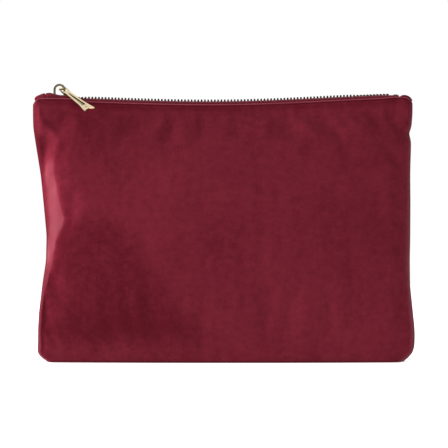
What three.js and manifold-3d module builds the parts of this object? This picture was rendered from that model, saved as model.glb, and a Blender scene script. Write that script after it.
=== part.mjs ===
// A flat velvet makeup bag with a metal zip along its top edge, standing on its base.
//
// Frame: millimetres, +Z up, the zip along X, the front towards -Y. The origin is at the
// middle of the base. The front shell carries the base, and the back shell leans away from
// it about the base's back edge as the slider runs to the right and the mouth opens.
//
// Each soft wall is one closed sheet between an outer and an inner grid of points. A grid
// has one column for each station across the bag, and one row for each station up it.

import * as THREE from 'three';
import * as BufferGeometryUtils from 'three/addons/utils/BufferGeometryUtils.js';
import Module from 'manifold-3d';

const wasm = await Module();
wasm.setup();

// ---- driving dimensions -------------------------------------------------------------

const GAP = 0.3; // between pieces that meet

const BAG = {
  wall: 1.4, // velvet with the backing fused to it
  seamDepth: 2.1, // half the thickness of the side seam
  baseDepth: 13, // half the depth of the flattened base
  foldDepth: 7, // half the depth at the folded top edges
  foldDrop: 2, // from the middle of the chain down to the folded edge
  cornerFrom: 0.93, // share of the half width where the folded edge starts to fall
  cornerDrop: 7, // how far it has fallen at the side seam
  cornerPower: 2.2,
};

// How the depth dies away towards the side seams: 1 - side ** power, rounded over. The
// power grows with the height, so that the top edges run straight almost to the seams.
const FULLNESS = { lowPower: 4.6, growth: 56, growthPower: 8, rounding: 0.8 };

// Half depth of the filled bag at stations up its height, [height, half depth].
const DEPTH_STATIONS = [
  [0, BAG.baseDepth], [8, 17.5], [25, 21.6], [60, 23], [100, 20.8],
  [140, 16.2], [172, 11.4], [190, 8.2], [198, BAG.foldDepth], [206, BAG.foldDepth],
];

// The side seams, [height, x]: the bag is waisted, more on its left.
const LEFT_SEAM = [
  [0, -133], [3, -139.5], [9, -142.4], [30, -142.6], [52, -140.4], [85, -135.8],
  [112, -137.6], [150, -141.5], [175, -146], [190, -147], [206, -145],
];
const RIGHT_SEAM = [
  [0, 137], [4, 144.2], [14, 147], [28, 146.6], [60, 143.2], [110, 143.6],
  [150, 143.4], [168, 144], [176, 142.9], [186, 145.6], [196, 145.6], [206, 144.2],
];

const ZIP = {
  left: -136.4, // ends of the two tapes
  right: 134.2,
  leftHeight: 202.2, // middle of the chain at its ends
  rightHeight: 204.5,
  sag: 4, // how far the chain hangs below the line between its ends
  sagPower: 1.5,
  tapeThickness: 0.7,
  tapeInner: 3.2, // where a tape's flat leg starts, from the middle
  tapeOuter: 5.3, // outside of its upright leg
  tapeTail: 10, // how far its upright leg reaches below the chain
};

const TEETH = {
  pitch: 2.54,
  width: 0.88, // along the chain
  reach: 0.9, // past the middle, between the other row's teeth
  cordInner: 1.7, // the woven cord that the teeth are clamped on
  cordOuter: 2.9,
  height: 2.2,
  left: -124.3, // ends of the two rows
  right: 128.6,
};

const STOPS = {
  topLeft: -130.6,
  topLength: 2.3,
  topInner: 1.75,
  topOuter: 2.9,
  topHeight: 2,
  bottomLeft: 130.2,
  bottomLength: 3.2,
  bottomHalfWidth: 2.9,
  bottomHeight: 2.6,
};

const SLIDER = {
  x: -126.2, // middle of the slider when the bag is shut
  halfLength: 5.75,
  corner: 1.6,
  shoulder: 4.2, // half width at its leading end
  tail: 3.9,
  halfHeight: 2.3,
  channelHalfHeight: 1.45,
  channelShoulder: 3.5,
  channelTail: 3.25,
  slotHalfHeight: 0.75, // where the tapes pass
  slotInner: 2.9,
  postFront: -4.9, // the wedge that parts the two rows
  postMiddle: -3,
  postBack: -0.9,
  postHalfWidth: 1.1,
};

const BAIL = {
  pivotHeight: 6.7, // above the middle of the chain
  inner: 3,
  outer: 4.1,
  halfWidth: 0.7,
  foot: 1.6,
  arcSteps: 14,
};

const PULLER = {
  thickness: 1.4,
  sideShift: 2.4, // it hangs by one corner of its eye
  eyeStart: -0.75,
  eyeHalfWidth: 2.9,
  eyeCorner: 1.2,
  holeStart: 0.75,
  holeEnd: 5,
  holeHalfWidth: 2,
  neckAt: 8,
  neckHalfWidth: 2.2,
  waistAt: 25,
  waistHalfWidth: 2.9,
  tailAt: 35.4,
  tailHalfWidth: 4.4,
  tailHollow: 1.5,
  grooveStart: 8.6,
  grooveStartHalfWidth: 0.35,
  grooveEnd: 28.4,
  grooveEndHalfWidth: 1.7,
  grooveDepth: 0.8,
  studAt: 31.2,
  studRadius: 0.95,
  studTopRadius: 0.57,
  studHeight: 0.5,
  studRoot: 0.2, // how far it is let into the plate
  studSides: 12,
  yaw: -40, // degrees: it hangs forwards, down and to the right, face turned up
  pitch: 27,
  roll: 28,
};

const LINING = {
  wall: 0.6,
  clear: 1.1, // from the inside of the shell
  inset: 12, // from the shell's side seams
  bottom: 12.8,
  topDrop: 6, // from the middle of the chain down to the lining's folded edge
  topDepth: 4.3, // half the depth at that edge and behind the tapes
  underTape: 1,
  flare: 0.4, // how fast it opens out below them
  seamDepth: 0.8,
  closing: 0.1, // share of its height over which it closes to its bottom seam
  squareness: 0.93, // share of the shell's growth in squareness that it follows
};

// The turned-in edges of the shell and of the lining, each a flat U with its thread.
const SHELL_SEAM = { outer: 0.4, inner: 6.2, halfThickness: 0.4, low: 1.8, top: 188 };
const LINING_SEAM = { outer: 6.6, inner: 11, halfThickness: 0.35, low: 8, top: 184 };
const SEAM_STATIONS = 12;
const SEAM_SPREAD = 1.4; // more of the stations near the rounded bottom corners

const TABS = {
  halfDepth: 4.2,
  low: 193,
  left: [-141.4, -136.8],
  right: [134.6, 140.6],
  leftTop: 206.2,
  rightTop: 205,
  slope: 1.6,
};

const STITCHES = { halfThickness: 0.25, height: 0.6, inset: 4 };

const COLUMNS = 26;
const LINING_COLUMNS = 20;
const ZIP_COLUMNS = 30;
const CURVE_SEGMENTS = 5;

// ---- materials ----------------------------------------------------------------------

function finish(colour, roughness, metalness = 0) {
  return new THREE.MeshStandardMaterial({ color: colour, roughness, metalness });
}

const VELVET = finish(0x74202e, 0.95);
const SATIN = finish(0x5c1a26, 0.6);
const WOVEN_TAPE = finish(0x701f2c, 0.9);
const THREAD = finish(0x66192a, 0.8);
const ANTIQUE_BRASS = finish(0x4a3a26, 0.4, 1);
const POLISHED_GOLD = finish(0xd9c48e, 0.2, 1);

// ---- shape of the bag -----------------------------------------------------------------

// A smooth curve through [place, value] stations, level with its neighbours at each one.
function stationed(stations, place) {
  const last = stations.length - 1;
  if (place <= stations[0][0]) return stations[0][1];
  if (place >= stations[last][0]) return stations[last][1];
  const next = stations.findIndex(([at]) => at > place);
  const slope = (i) => {
    const a = stations[Math.max(i - 1, 0)];
    const b = stations[Math.min(i + 1, last)];
    return (b[1] - a[1]) / (b[0] - a[0]);
  };
  const [fromAt, from] = stations[next - 1];
  const [toAt, to] = stations[next];
  const span = toAt - fromAt;
  const t = (place - fromAt) / span;
  const t2 = t * t;
  const t3 = t2 * t;
  return (2 * t3 - 3 * t2 + 1) * from + (t3 - 2 * t2 + t) * span * slope(next - 1)
    + (3 * t2 - 2 * t3) * to + (t3 - t2) * span * slope(next);
}

function chainHeight(x) {
  const t = THREE.MathUtils.clamp((x - ZIP.left) / (ZIP.right - ZIP.left), 0, 1);
  const level = THREE.MathUtils.lerp(ZIP.leftHeight, ZIP.rightHeight, t);
  return level - ZIP.sag * Math.sin(Math.PI * t) ** ZIP.sagPower;
}

// Place across the bag at a height: side is -1 at the left seam and 1 at the right one.
function across(side, height, inset = 0) {
  const left = stationed(LEFT_SEAM, height) + inset;
  const right = stationed(RIGHT_SEAM, height) - inset;
  return THREE.MathUtils.lerp(left, right, (side + 1) / 2);
}

// How full the bag is towards a side: a lens low down, squarer towards the zip.
function fullness(side, rise) {
  const power = FULLNESS.lowPower + FULLNESS.growth * rise ** FULLNESS.growthPower;
  return (1 - Math.abs(side) ** power) ** FULLNESS.rounding;
}

function foldHeight(side) {
  const level = chainHeight(across(side, ZIP.leftHeight)) - BAG.foldDrop;
  const corner = Math.max(0, (Math.abs(side) - BAG.cornerFrom) / (1 - BAG.cornerFrom));
  return level - BAG.cornerDrop * corner ** BAG.cornerPower;
}

function halfDepth(side, height) {
  const depth = stationed(DEPTH_STATIONS, height);
  const rise = Math.min(height / ZIP.leftHeight, 1);
  return BAG.seamDepth + (depth - BAG.seamDepth) * fullness(side, rise);
}

// Stations across, closer together towards the side seams.
function sides(count) {
  return Array.from({ length: count + 1 }, (_, i) => Math.sin((i / count - 0.5) * Math.PI));
}

// ---- making closed solids -------------------------------------------------------------

function closedGeometry(points, faces) {
  const geometry = new THREE.BufferGeometry();
  const flat = points.flatMap((p) => [p.x, p.y, p.z]);
  const insideOut = volumeOf(points, faces) < 0;
  geometry.setAttribute('position', new THREE.Float32BufferAttribute(flat, 3));
  geometry.setIndex(faces.flatMap(([a, b, c]) => (insideOut ? [a, c, b] : [a, b, c])));
  return geometry;
}

function volumeOf(points, faces) {
  const cross = new THREE.Vector3();
  let sum = 0;
  for (const [a, b, c] of faces) sum += points[a].dot(cross.crossVectors(points[b], points[c]));
  return sum / 6;
}

// One closed sheet between two grids of points, grid[column][row].
function sheet(outer, inner) {
  const columns = outer.length;
  const rows = outer[0].length;
  const points = [...outer.flat(), ...inner.flat()];
  const at = (layer, c, r) => layer * columns * rows + c * rows + r;
  const faces = [];
  const quad = (a, b, c, d) => faces.push([a, b, c], [a, c, d]);
  for (let c = 0; c < columns - 1; c++) {
    for (let r = 0; r < rows - 1; r++) {
      quad(at(0, c, r), at(0, c + 1, r), at(0, c + 1, r + 1), at(0, c, r + 1));
      quad(at(1, c, r), at(1, c, r + 1), at(1, c + 1, r + 1), at(1, c + 1, r));
    }
    quad(at(0, c, 0), at(1, c, 0), at(1, c + 1, 0), at(0, c + 1, 0));
    quad(at(0, c, rows - 1), at(0, c + 1, rows - 1), at(1, c + 1, rows - 1), at(1, c, rows - 1));
  }
  for (let r = 0; r < rows - 1; r++) {
    const end = columns - 1;
    quad(at(0, 0, r), at(0, 0, r + 1), at(1, 0, r + 1), at(1, 0, r));
    quad(at(0, end, r), at(1, end, r), at(1, end, r + 1), at(0, end, r + 1));
  }
  return closedGeometry(points, faces);
}

// One closed bar through sections of the same number of points, each a loop.
function sweep(sections) {
  const count = sections[0].length;
  const points = sections.flat();
  const faces = [];
  for (let s = 0; s < sections.length - 1; s++) {
    for (let i = 0; i < count; i++) {
      const a = s * count + i;
      const b = s * count + (i + 1) % count;
      faces.push([a, b, b + count], [a, b + count, a + count]);
    }
  }
  const outline = sections[0].map((p) => new THREE.Vector2(p.y, p.z));
  const cap = THREE.ShapeUtils.triangulateShape(outline, []);
  const clockwise = THREE.ShapeUtils.isClockWise(outline);
  const end = (sections.length - 1) * count;
  for (const [a, b, c] of cap) {
    faces.push(clockwise ? [a, b, c] : [a, c, b]);
    faces.push(clockwise ? [end + a, end + c, end + b] : [end + a, end + b, end + c]);
  }
  return closedGeometry(points, faces);
}

function solid(geometry) {
  const bare = geometry.clone();
  bare.deleteAttribute('normal');
  bare.deleteAttribute('uv');
  const merged = BufferGeometryUtils.mergeVertices(bare);
  return new wasm.Manifold(new wasm.Mesh({
    numProp: 3,
    vertProperties: new Float32Array(merged.attributes.position.array),
    triVerts: new Uint32Array(merged.index.array),
  }));
}

function geometryOf(manifold) {
  const mesh = manifold.getMesh();
  const geometry = new THREE.BufferGeometry();
  geometry.setAttribute('position', new THREE.BufferAttribute(mesh.vertProperties, 3));
  geometry.setIndex(new THREE.BufferAttribute(mesh.triVerts, 1));
  return geometry;
}

function polygon(points) {
  return new THREE.Shape(points.map(([x, y]) => new THREE.Vector2(x, y)));
}

// A flat outline given thickness, centred on the height of its middle.
function plate(shape, thickness, middle = 0) {
  const settings = { depth: thickness, bevelEnabled: false, curveSegments: CURVE_SEGMENTS };
  const geometry = new THREE.ExtrudeGeometry(shape, settings);
  return geometry.translate(0, 0, middle - thickness / 2);
}

function ordered(a, b) {
  return a < b ? [a, b] : [b, a];
}

function block(low, high) {
  const size = high.map((value, i) => value - low[i]);
  const geometry = new THREE.BoxGeometry(...size);
  return geometry.translate(...low.map((value, i) => value + size[i] / 2));
}

function mesh(name, geometry, material) {
  const made = new THREE.Mesh(geometry, material);
  made.name = name;
  return made;
}

// ---- shells, linings and their seams ----------------------------------------------------

const WALL_RISES = [0, 0.025, 0.06, 0.12, 0.2, 0.3, 0.4, 0.5, 0.62, 0.74, 0.85, 0.93, 1];

// One wall of the shell. face is -1 for the front, which carries the base, and 1 for the back.
function shellWall(face, withBase) {
  const foot = BAG.wall + GAP;
  const column = (side, inward) => {
    const top = foldHeight(side);
    const points = [];
    if (withBase) {
      const low = inward ? BAG.wall : 0;
      const depth = halfDepth(side, 0);
      const x = across(side, low);
      for (const part of [1, 0, -1]) {
        points.push(new THREE.Vector3(x, -face * part * depth, low));
      }
      points[2].y = face * (depth - inward);
    }
    for (const rise of WALL_RISES.slice(withBase ? 1 : 0)) {
      const height = THREE.MathUtils.lerp(withBase ? 0 : foot, top, rise);
      const y = face * (halfDepth(side, height) - inward);
      points.push(new THREE.Vector3(across(side, height), y, height));
    }
    return points;
  };
  const stations = sides(COLUMNS);
  const outer = stations.map((side) => column(side, 0));
  const inner = stations.map((side) => column(side, BAG.wall));
  return sheet(outer, inner);
}

const LINING_RISES = [0, 0.012, 0.04, 0.1, 0.2, 0.33, 0.48, 0.64, 0.8, 0.92, 1];

// The lining follows the shell at a distance, is drawn together under the zip's tapes, and
// closes at its own bottom seam.
function liningDepth(side, height, chain) {
  const rise = (height - LINING.bottom) / (chain - LINING.topDrop - LINING.bottom);
  const below = Math.max(0, chain - ZIP.tapeTail - LINING.underTape - height);
  const full = stationed(DEPTH_STATIONS, height) - BAG.wall - LINING.clear;
  const depth = Math.min(full, LINING.topDepth + LINING.flare * below);
  const closing = Math.min(1, Math.sqrt(rise / LINING.closing));
  const lens = fullness(side, rise * LINING.squareness) * closing;
  return LINING.seamDepth + (depth - LINING.seamDepth) * lens;
}

function liningWall(face) {
  const column = (side, inward) => {
    const chain = chainHeight(across(side, ZIP.leftHeight, LINING.inset));
    const underTape = chain - ZIP.tapeTail - LINING.underTape;
    const lower = LINING_RISES.map((rise) => THREE.MathUtils.lerp(LINING.bottom, underTape, rise));
    return [...lower, chain - LINING.topDrop].map((height) => {
      const y = face * (liningDepth(side, height, chain) - inward);
      return new THREE.Vector3(across(side, height, LINING.inset), y, height);
    });
  };
  const stations = sides(LINING_COLUMNS);
  const outer = stations.map((side) => column(side, 0));
  const inner = stations.map((side) => column(side, LINING.wall));
  return sheet(outer, inner);
}

// A flat U in the middle plane, between two distances in from the side seams.
function seamFlange({ outer, inner, halfThickness, low, top }) {
  const heights = Array.from({ length: SEAM_STATIONS }, (_, i) => {
    const rise = (i / (SEAM_STATIONS - 1)) ** SEAM_SPREAD;
    return THREE.MathUtils.lerp(low, top, rise);
  });
  const edge = (side, inset, floor) => heights
    .map((height) => Math.max(height, floor))
    .map((height) => [across(side, height, inset), height]);
  const width = inner - outer;
  const outline = [
    ...edge(-1, outer, low).reverse(), ...edge(1, outer, low),
    ...edge(1, inner, low + width).reverse(), ...edge(-1, inner, low + width),
  ];
  const apart = outline.filter(([x, z], i) => i === 0 || x !== outline[i - 1][0] || z !== outline[i - 1][1]);
  return plate(polygon(apart), 2 * halfThickness).rotateX(Math.PI / 2);
}

// ---- zip -----------------------------------------------------------------------------

function zipStations(from, to, count) {
  return Array.from({ length: count + 1 }, (_, i) => THREE.MathUtils.lerp(from, to, i / count));
}

// A tape: flat from the chain outwards, then upright down behind the folded edge.
function tape(face) {
  const { tapeInner, tapeOuter, tapeThickness, tapeTail } = ZIP;
  const half = tapeThickness / 2;
  const section = (x) => {
    const z = chainHeight(x);
    return [
      [tapeInner, z - half], [tapeOuter - tapeThickness, z - half],
      [tapeOuter - tapeThickness, z - tapeTail], [tapeOuter, z - tapeTail],
      [tapeOuter, z + half], [tapeInner, z + half],
    ].map(([y, height]) => new THREE.Vector3(x, face * y, height));
  };
  return sweep(zipStations(ZIP.left, ZIP.right, ZIP_COLUMNS).map(section));
}

// A row of teeth on its cord: a comb laid flat, then let down on to the line of the chain.
function teethRow(face, offset) {
  const { pitch, width, reach, cordInner, cordOuter, left, right, height } = TEETH;
  const outline = [[left, face * cordOuter], [right, face * cordOuter], [right, face * cordInner]];
  const count = Math.floor((right - left - pitch) / pitch);
  for (let i = count; i >= 0; i--) {
    const middle = left + offset + i * pitch;
    outline.push(
      [middle + width / 2, face * cordInner], [middle + width / 2, -face * reach],
      [middle - width / 2, -face * reach], [middle - width / 2, face * cordInner],
    );
  }
  outline.push([left, face * cordInner]);
  return letDown(plate(polygon(outline), height));
}

function letDown(geometry) {
  const places = geometry.attributes.position;
  for (let i = 0; i < places.count; i++) {
    places.setZ(i, places.getZ(i) + chainHeight(places.getX(i)));
  }
  return geometry;
}

function topStop(face) {
  const { topLeft, topLength, topInner, topOuter, topHeight } = STOPS;
  const y = ordered(face * topInner, face * topOuter);
  const z = chainHeight(topLeft);
  const low = [topLeft, y[0], z - topHeight / 2];
  const high = [topLeft + topLength, y[1], z + topHeight / 2];
  return block(low, high);
}

function bottomStop() {
  const { bottomLeft, bottomLength, bottomHalfWidth, bottomHeight } = STOPS;
  const z = chainHeight(bottomLeft);
  return block(
    [bottomLeft, -bottomHalfWidth, z - bottomHeight / 2],
    [bottomLeft + bottomLength, bottomHalfWidth, z + bottomHeight / 2],
  );
}

// The folded velvet that closes an end of the zip, its top sloping down towards the side seam.
function endTab([low, high], top, outwards) {
  const [leftTop, rightTop] = outwards < 0 ? [top - TABS.slope, top] : [top, top - TABS.slope];
  const outline = [[low, TABS.low], [high, TABS.low], [high, rightTop], [low, leftTop]];
  return plate(polygon(outline), 2 * TABS.halfDepth).rotateX(Math.PI / 2);
}

// The thread that sews a tape to the lining's edge, a thin line inside the tape's tail.
function tapeStitching(face) {
  const outer = ZIP.tapeOuter - ZIP.tapeThickness - GAP;
  const inner = outer - 2 * STITCHES.halfThickness;
  const section = (x) => {
    const low = chainHeight(x) - LINING.topDrop + GAP + STITCHES.height;
    const high = low + STITCHES.height;
    return [[inner, low], [outer, low], [outer, high], [inner, high]]
      .map(([y, z]) => new THREE.Vector3(x, face * y, z));
  };
  const stations = zipStations(ZIP.left + STITCHES.inset, ZIP.right - STITCHES.inset, ZIP_COLUMNS);
  return sweep(stations.map(section));
}

// ---- slider, bail and puller -------------------------------------------------------------

function tapered(halfLength, leftHalf, rightHalf) {
  return [
    [-halfLength, -leftHalf], [halfLength, -rightHalf],
    [halfLength, rightHalf], [-halfLength, leftHalf],
  ];
}

function sliderOutline() {
  const { halfLength, shoulder, tail, corner: round } = SLIDER;
  const shape = new THREE.Shape();
  shape.moveTo(-halfLength + round, -shoulder);
  shape.lineTo(halfLength - round, -tail);
  shape.quadraticCurveTo(halfLength, -tail, halfLength, -tail + round);
  shape.lineTo(halfLength, tail - round);
  shape.quadraticCurveTo(halfLength, tail, halfLength - round, tail);
  shape.lineTo(-halfLength + round, shoulder);
  shape.quadraticCurveTo(-halfLength, shoulder, -halfLength, shoulder - round);
  shape.lineTo(-halfLength, -shoulder + round);
  shape.quadraticCurveTo(-halfLength, -shoulder, -halfLength + round, -shoulder);
  return shape;
}

// Two plates joined by a post, with the channel between them and a slot each side for the
// tapes. The feet of the bail stand in two pockets in its top plate.
function sliderBody() {
  const s = SLIDER;
  const past = s.halfLength + 1; // every cutter runs on past what it cuts
  const post = polygon([
    [s.postFront, 0], [s.postMiddle, -s.postHalfWidth], [s.postBack, 0], [s.postMiddle, s.postHalfWidth],
  ]);
  const channel = polygon(tapered(past, s.channelShoulder, s.channelTail));
  channel.holes.push(post);
  let body = solid(plate(sliderOutline(), 2 * s.halfHeight))
    .subtract(solid(plate(channel, 2 * s.channelHalfHeight)));
  for (const face of [-1, 1]) {
    const slot = ordered(face * s.slotInner, face * (s.shoulder + 1));
    const low = [-past, slot[0], -s.slotHalfHeight];
    const high = [past, slot[1], s.slotHalfHeight];
    body = body.subtract(solid(block(low, high)));
    const side = ordered(face * (BAIL.inner - GAP), face * (BAIL.outer + GAP));
    const half = BAIL.halfWidth + GAP;
    const pocketLow = [side[0], -half, s.channelHalfHeight - 1];
    const pocketHigh = [side[1], half, s.halfHeight + 1];
    body = body.subtract(solid(block(pocketLow, pocketHigh)));
  }
  return geometryOf(body);
}

// The arch over the slider: a half ring about the puller's pivot, on two straight legs.
function bail() {
  const { pivotHeight, inner, outer, foot, arcSteps, halfWidth } = BAIL;
  const arc = (radius) => Array.from({ length: arcSteps + 1 }, (_, i) => {
    const angle = Math.PI * i / arcSteps;
    return [radius * Math.cos(angle), pivotHeight + radius * Math.sin(angle)];
  });
  const outside = [[outer, foot], ...arc(outer), [-outer, foot]];
  const inside = [[-inner, foot], ...arc(inner).reverse(), [inner, foot]];
  const outline = [...outside, ...inside];
  return plate(polygon(outline), 2 * halfWidth).rotateX(Math.PI / 2);
}

function pullerOutline() {
  const p = PULLER;
  const shape = new THREE.Shape();
  shape.moveTo(p.eyeStart + p.eyeCorner, -p.eyeHalfWidth);
  shape.lineTo(p.holeEnd, -p.eyeHalfWidth);
  shape.lineTo(p.neckAt, -p.neckHalfWidth);
  shape.lineTo(p.waistAt, -p.waistHalfWidth);
  shape.lineTo(p.tailAt, -p.tailHalfWidth);
  shape.quadraticCurveTo(p.tailAt - 2 * p.tailHollow, 0, p.tailAt, p.tailHalfWidth);
  shape.lineTo(p.waistAt, p.waistHalfWidth);
  shape.lineTo(p.neckAt, p.neckHalfWidth);
  shape.lineTo(p.holeEnd, p.eyeHalfWidth);
  shape.lineTo(p.eyeStart + p.eyeCorner, p.eyeHalfWidth);
  shape.quadraticCurveTo(p.eyeStart, p.eyeHalfWidth, p.eyeStart, p.eyeHalfWidth - p.eyeCorner);
  shape.lineTo(p.eyeStart, -p.eyeHalfWidth + p.eyeCorner);
  shape.quadraticCurveTo(p.eyeStart, -p.eyeHalfWidth, p.eyeStart + p.eyeCorner, -p.eyeHalfWidth);
  shape.holes.push(polygon([
    [p.holeStart, -p.holeHalfWidth], [p.holeEnd, -p.holeHalfWidth],
    [p.holeEnd, p.holeHalfWidth], [p.holeStart, p.holeHalfWidth],
  ]));
  return shape;
}

function puller() {
  const p = PULLER;
  const groove = plate(polygon([
    [p.grooveStart, -p.grooveStartHalfWidth], [p.grooveEnd, -p.grooveEndHalfWidth],
    [p.grooveEnd, p.grooveEndHalfWidth], [p.grooveStart, p.grooveStartHalfWidth],
  ]), 2 * p.grooveDepth, p.thickness / 2);
  const studLength = p.studHeight + p.studRoot;
  const stud = new THREE.CylinderGeometry(p.studTopRadius, p.studRadius, studLength, p.studSides)
    .rotateX(Math.PI / 2)
    .translate(p.studAt, 0, p.thickness / 2 + p.studHeight - studLength / 2);
  const made = solid(plate(pullerOutline(), p.thickness)).subtract(solid(groove)).add(solid(stud));
  return geometryOf(made).translate(0, p.sideShift, 0);
}

// ---- the bag -------------------------------------------------------------------------

const bag = new THREE.Group();

bag.add(mesh('front_shell', shellWall(-1, true), VELVET));
bag.add(mesh('back_shell', shellWall(1, false), VELVET));
bag.add(mesh('front_lining', liningWall(-1), SATIN));
bag.add(mesh('back_lining', liningWall(1), SATIN));
bag.add(mesh('shell_seam', seamFlange(SHELL_SEAM), VELVET));
bag.add(mesh('lining_seam', seamFlange(LINING_SEAM), SATIN));

bag.add(mesh('front_tape', tape(-1), WOVEN_TAPE));
bag.add(mesh('back_tape', tape(1), WOVEN_TAPE));
bag.add(mesh('front_teeth', teethRow(-1, TEETH.pitch / 4), ANTIQUE_BRASS));
bag.add(mesh('back_teeth', teethRow(1, TEETH.pitch * 3 / 4), ANTIQUE_BRASS));
bag.add(mesh('front_top_stop', topStop(-1), ANTIQUE_BRASS));
bag.add(mesh('back_top_stop', topStop(1), ANTIQUE_BRASS));
bag.add(mesh('bottom_stop', bottomStop(), ANTIQUE_BRASS));
bag.add(mesh('front_tape_stitching', tapeStitching(-1), THREAD));
bag.add(mesh('back_tape_stitching', tapeStitching(1), THREAD));
bag.add(mesh('left_end_tab', endTab(TABS.left, TABS.leftTop, -1), VELVET));
bag.add(mesh('right_end_tab', endTab(TABS.right, TABS.rightTop, 1), VELVET));

const runner = new THREE.Group();
runner.position.set(SLIDER.x, 0, chainHeight(SLIDER.x));
runner.add(mesh('slider_body', sliderBody(), POLISHED_GOLD));
runner.add(mesh('slider_bail', bail(), POLISHED_GOLD));

const pull = mesh('puller', puller(), POLISHED_GOLD);
const radians = THREE.MathUtils.degToRad;
pull.position.z = BAIL.pivotHeight;
pull.rotation.set(radians(PULLER.roll), radians(PULLER.pitch), radians(PULLER.yaw), 'ZYX');
runner.add(pull);
bag.add(runner);

export default bag;
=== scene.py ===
"""The looks of a velvet makeup bag with a metal zip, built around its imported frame.

Lengths are in metres, +Z up, the zip along X and the front towards -Y. The settings below
give sizes in millimetres, times MM.
"""

import math

import bpy
import numpy as np
from bpy.props import FloatProperty, FloatVectorProperty, IntProperty, PointerProperty
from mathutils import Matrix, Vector, noise
from mathutils.bvhtree import BVHTree


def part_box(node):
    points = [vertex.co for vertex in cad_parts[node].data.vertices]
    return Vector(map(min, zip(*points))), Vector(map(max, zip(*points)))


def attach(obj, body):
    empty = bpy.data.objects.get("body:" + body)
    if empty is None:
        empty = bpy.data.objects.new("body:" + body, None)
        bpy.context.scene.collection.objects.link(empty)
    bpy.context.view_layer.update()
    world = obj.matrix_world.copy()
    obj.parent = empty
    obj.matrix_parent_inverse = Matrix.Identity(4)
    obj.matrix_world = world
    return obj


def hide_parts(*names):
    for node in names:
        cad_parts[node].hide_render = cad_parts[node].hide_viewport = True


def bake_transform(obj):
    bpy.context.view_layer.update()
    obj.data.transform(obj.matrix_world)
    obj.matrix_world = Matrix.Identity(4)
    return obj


bl_info = {
    "name": "Velvet Makeup Bag",
    "version": (1, 0, 0),
    "blender": (4, 5, 0),
    "location": "3D View > Sidebar > Makeup Bag",
    "description": "Builds the velvet, the zip and the gold fittings of a makeup bag on its frame",
    "category": "Object",
}

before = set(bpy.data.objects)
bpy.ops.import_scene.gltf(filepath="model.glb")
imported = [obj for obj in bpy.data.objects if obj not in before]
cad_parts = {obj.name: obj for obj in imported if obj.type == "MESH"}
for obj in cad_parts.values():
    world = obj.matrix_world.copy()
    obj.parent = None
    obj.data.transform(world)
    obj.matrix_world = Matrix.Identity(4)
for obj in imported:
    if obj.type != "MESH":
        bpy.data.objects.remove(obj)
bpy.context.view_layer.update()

MM = 0.001
FRONT = -1
BACK = 1


# ---- settings -----------------------------------------------------------------------------


def length(name, millimetres, description):
    """A length that a user can change."""
    return FloatProperty(
        name=name, description=description, default=millimetres * MM, precision=5, unit="LENGTH"
    )


def angle(name, degrees, description):
    """An angle that a user can change."""
    return FloatProperty(
        name=name, description=description, default=math.radians(degrees), subtype="ANGLE"
    )


def share(name, value, description):
    """A share between nought and one that a user can change."""
    return FloatProperty(
        name=name, description=description, default=value, min=0, max=1, subtype="FACTOR"
    )


def colour(name, rgb, description):
    """A colour that a user can change."""
    return FloatVectorProperty(
        name=name, description=description, default=rgb, size=3, min=0, max=1, subtype="COLOR"
    )


def power(name, watts, description):
    """A lamp's power that a user can change."""
    return FloatProperty(name=name, description=description, default=watts, unit="POWER")


class PanelSettings(bpy.types.PropertyGroup):
    """Sizes of the velvet panels and of the lining."""

    thickness: length("Thickness", 1.2, "Velvet with its backing and its turned edge")
    seam_gap: length("Seam gap", 0.35, "Half the gap between the two panels along their seam")
    base_radius: length("Base rounding", 3, "Radius along the front and back of the base")
    fold_drop: length("Fold drop", 2.1, "From the middle of the chain down to the folded edge")
    end_lift: length("End lift", 1.9, "How far the front fold rises beside the shut slider")
    corner_drop: length("Corner drop", 5, "How far the folded edge falls at a side seam")
    corner_width: length("Corner width", 9, "Width over which the folded edge falls")
    groove: length("Groove", 0.7, "Depth of the pressed groove under the folded edge")
    groove_drop: length("Groove drop", 1.35, "From the folded edge down to the groove")
    side_share: share("Side share", 0.72, "Share of the depth that the sides reach by themselves")
    blow: FloatProperty(name="Blow", description="Cloth pressure in the panels", default=4)
    blow_cap: length("Blow cap", 3, "Furthest that the cloth may move from its cut shape")
    lining_thickness: length("Lining thickness", 0.4, "Satin of the lining")
    lining_inset: length("Lining inset", 12, "From the side seams in to the lining")
    lining_clear: length("Lining clearance", 2.4, "From a panel's outside to the lining's")
    lining_ripple: length("Lining ripple", 1.1, "Height of the lining's soft wrinkles")


class ZipSettings(bpy.types.PropertyGroup):
    """Sizes of the zip."""

    pitch: length("Pitch", 2.54, "From tooth to tooth in one row")
    leg_width: length("Leg width", 1.75, "Width of a tooth where it grips the tape")
    crown_width: length("Crown width", 1.15, "Width of the top of a tooth")
    head_width: length("Head width", 0.9, "Width of a tooth where the rows meet")
    reach: length("Reach", 0.85, "How far a tooth passes the middle")
    leg_height: length("Leg height", 2.7, "Height of a tooth where it grips the tape")
    head_height: length("Head height", 1.9, "Height of a tooth where the rows meet")
    row_tilt: length("Row tilt", 0.6, "How much the front row is lifted and the back row lowered")
    tape_thickness: length("Tape thickness", 0.55, "Woven tape")
    cord_radius: length("Cord radius", 0.4, "Cord along the tape's edge, inside the teeth")
    cord_drop: length("Cord drop", 0.45, "From the middle of a tooth down to the cord")
    stitch_pitch: length("Stitch pitch", 2.9, "From stitch to stitch")
    stitch_radius: length("Stitch radius", 0.2, "Thread of the stitches")


class FittingSettings(bpy.types.PropertyGroup):
    """Sizes of the slider's arch and of the puller."""

    edge: length("Edge", 0.32, "Rounding of the slider's edges")
    arch_radius: length("Arch radius", 3.8, "Middle of the arch's bar from its centre")
    arch_bar: length("Arch bar", 0.85, "Half the thickness of the arch's bar")
    droop: angle("Droop", 4, "How far the puller's tail hangs down from its packed place")
    rim: length("Rim", 0.5, "Rounding of the puller's rim")


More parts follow.
